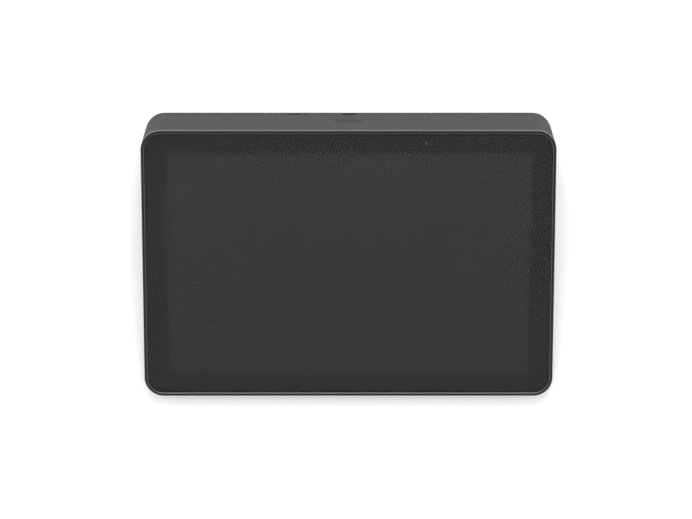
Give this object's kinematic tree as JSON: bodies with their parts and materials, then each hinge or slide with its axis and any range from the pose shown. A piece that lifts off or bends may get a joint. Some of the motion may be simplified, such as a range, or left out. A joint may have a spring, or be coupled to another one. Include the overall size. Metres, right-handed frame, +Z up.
{
  "type": "tabletop touch display",
  "caption": "Wedge-shaped tabletop touch display with a sloping glass face, a narrow rim, knit-wrapped walls, a sliding cable-bay cover underneath and a recessed reset button.",
  "frame": {"origin": "centre of the footprint, on the table under the feet", "axes": "+X to the user's right, +Y towards the tall rear wall, +Z up"},
  "size_m": [0.246, 0.1712, 0.0499],
  "materials": {
    "cover_glass": "clear glass, black printed on the back outside the lit area",
    "rim_plastic": "satin charcoal moulding",
    "textile": "fine charcoal knit",
    "shell_plastic": "textured charcoal moulding",
    "base_plastic": "spark-textured charcoal moulding",
    "badge": "blank dark badge",
    "rubber": "matt black rubber",
    "tape": "black adhesive foam tape",
    "foam": "black cellular foam",
    "display_cell": "unlit display cell",
    "sheet_metal": "bright pressed sheet",
    "heat_sink_metal": "black anodised",
    "steel": "plain steel",
    "screw_steel": "black zinc",
    "circuit_board": "green solder mask",
    "component_plastic": "black moulding",
    "flex": "amber polyimide"
  },
  "bodies": {
    "device": {"antenna_left": "circuit_board", "antenna_right": "circuit_board", "backlight_tray": "sheet_metal", "badge_plate": "badge", "base_plate": "base_plastic", "board_screw_front_left": "screw_steel", "board_screw_front_right": "screw_steel", "board_screw_rear_left": "screw_steel", "board_screw_rear_right": "screw_steel", "cable_clamp": "base_plastic", "cable_saddle": "base_plastic", "chassis_screw_front_left": "screw_steel", "chassis_screw_front_right": "screw_steel", "chassis_screw_rear_left": "screw_steel", "chassis_screw_rear_right": "screw_steel", "clamp_screw_left": "screw_steel", "clamp_screw_right": "screw_steel", "cover_glass": "cover_glass", "display_cell": "display_cell", "display_chassis": "sheet_metal", "display_connector": "component_plastic", "display_foam": "foam", "display_ribbon": "flex", "foot_front_left": "rubber", "foot_front_right": "rubber", "foot_rear_left": "rubber", "foot_rear_right": "rubber", "front_rim": "rim_plastic", "glass_tape": "tape", "heat_sink": "heat_sink_metal", "housing_screw_front_left": "screw_steel", "housing_screw_front_right": "screw_steel", "housing_screw_middle_left": "screw_steel", "housing_screw_middle_right": "screw_steel", "housing_screw_rear_left": "screw_steel", "housing_screw_rear_right": "screw_steel", "housing_shell": "shell_plastic", "light_sensor": "component_plastic", "lock_plate": "steel", "main_board": "circuit_board", "network_socket": "steel", "power_module": "component_plastic", "processor_shield": "sheet_metal", "reset_board": "circuit_board", "reset_switch": "component_plastic", "rim_tape": "tape", "sensor_board": "circuit_board", "sensor_foam": "foam", "speaker_left": "component_plastic", "speaker_right": "component_plastic", "textile_wrap": "textile", "touch_ribbon": "flex", "usb_socket": "steel", "wireless_module": "sheet_metal"},
    "bay_cover": {"bay_cover": "base_plastic"},
    "reset_button": {"reset_button": "component_plastic"}
  },
  "joints": [
    {"name": "bay_cover_slide", "type": "slide", "parent": "device", "child": "bay_cover", "axis": [0, 1, 0], "range_m": [0, 0.08]},
    {"name": "reset_button_press", "type": "slide", "parent": "device", "child": "reset_button", "axis": [0, -1, 0], "range_m": [0, 0.0006], "stiffness_N_per_m": 1500, "springref_m": -0.0004}
  ]
}
